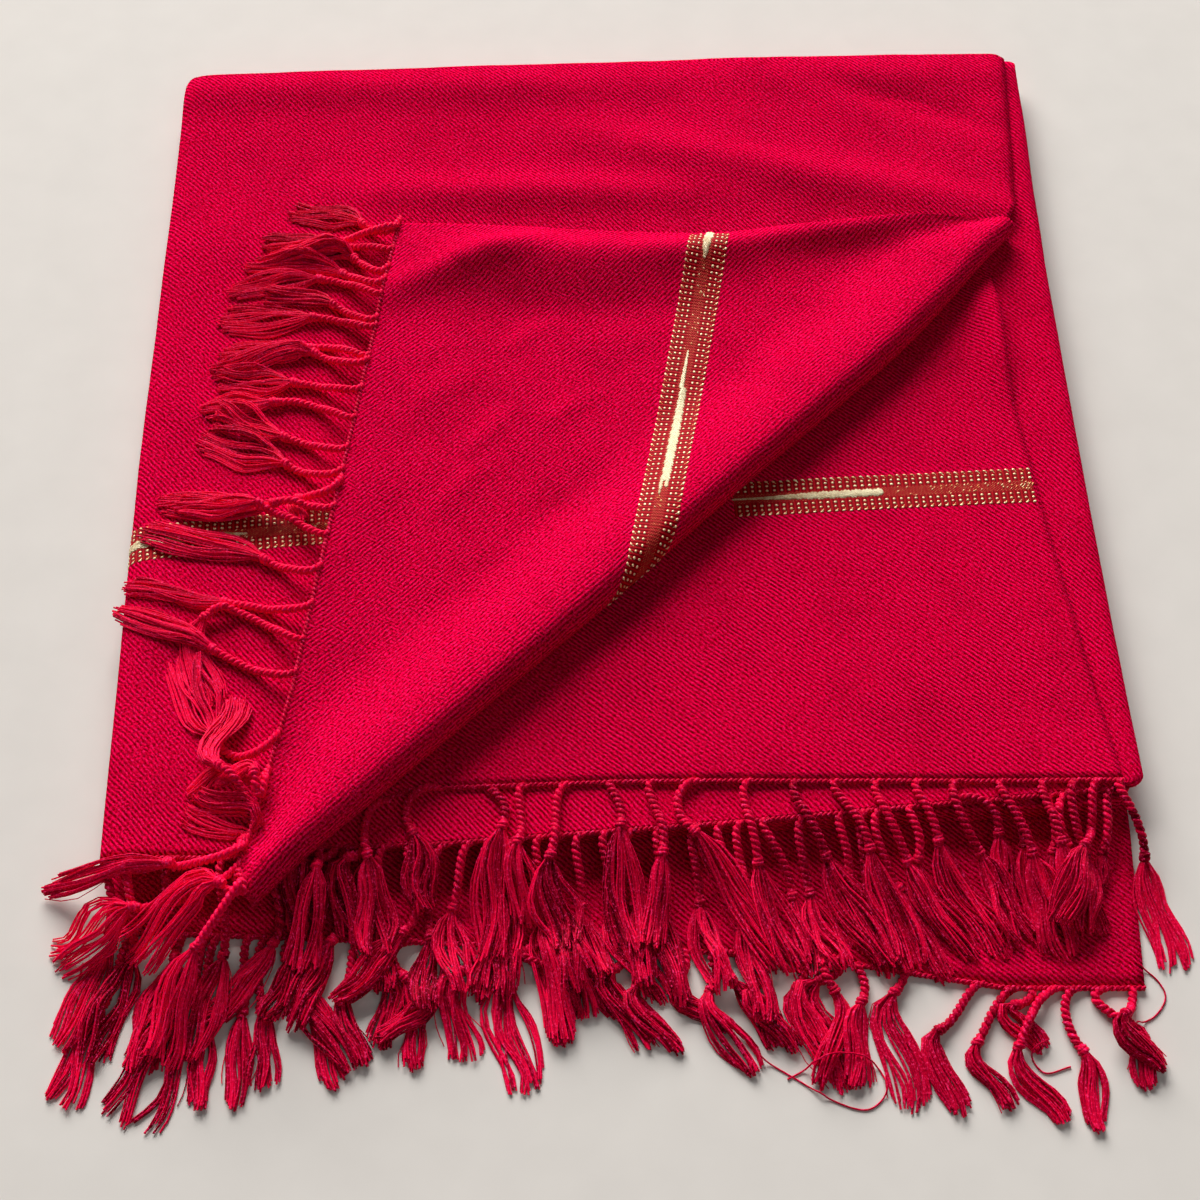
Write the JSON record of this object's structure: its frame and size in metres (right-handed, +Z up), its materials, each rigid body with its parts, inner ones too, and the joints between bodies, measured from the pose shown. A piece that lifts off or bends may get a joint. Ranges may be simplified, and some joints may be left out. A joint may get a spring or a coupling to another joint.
{
  "type": "shawl",
  "caption": "Fringed twill shawl folded to a flat square, its near corner turned back over a soft diagonal roll, with a narrow woven border.",
  "frame": {"origin": "middle of the bounding box in plan, on the surface that the shawl lies on", "axes": "+X towards the open right side, +Y towards the rear fold and away from the fringes, +Z up"},
  "size_m": [0.509, 0.6534, 0.0389],
  "materials": {
    "twill": "soft crimson wool twill with a fine diagonal rib and a light nap",
    "fringe": "twisted and knotted crimson yarn with loose silky tassels",
    "border": "gold weft dots beside a satin band on darker crimson"
  },
  "bodies": {
    "root": {"bottom_layer": "twill", "hem_bottom": "fringe", "lower_stack": "twill", "third_layer": "twill", "hem_third": "fringe", "second_layer": "twill", "hem_second": "fringe", "top_layer": "twill", "hem_top": "fringe", "turned_corner": "twill", "stripe_top": "border", "stripe_second": "border", "stripe_turned": "border", "fringe_bottom": "fringe", "fringe_third": "fringe", "fringe_second": "fringe", "fringe_top": "fringe", "hem_turned": "fringe", "fringe_turned": "fringe"}
  },
  "joints": []
}
